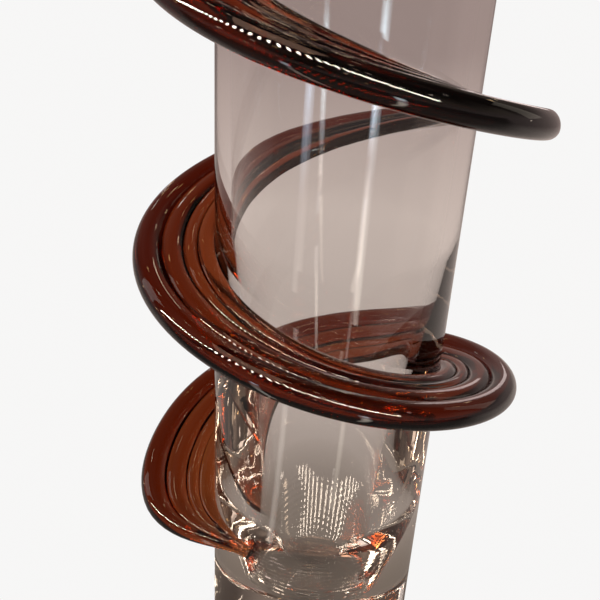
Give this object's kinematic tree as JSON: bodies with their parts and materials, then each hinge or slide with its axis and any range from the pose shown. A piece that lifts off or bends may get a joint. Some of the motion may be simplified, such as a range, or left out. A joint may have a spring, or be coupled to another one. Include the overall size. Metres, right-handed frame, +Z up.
{
  "type": "vase",
  "caption": "Tall clear glass cylinder vase with a heavy solid base and a ribbed amber glass ribbon spiralling round the outside.",
  "frame": {"origin": "centre of the flat underside, on the cylinder's axis", "axes": "+Z up along the cylinder's axis; -Y towards the side on which the ribbon's tail curls round to the front"},
  "size_m": [0.1373, 0.1375, 0.35],
  "materials": {
    "clear_glass": "polished, clear",
    "amber_glass": "polished, transparent amber-brown"
  },
  "bodies": {
    "root": {"clear_body": "clear_glass", "amber_ribbon": "amber_glass"}
  },
  "joints": []
}
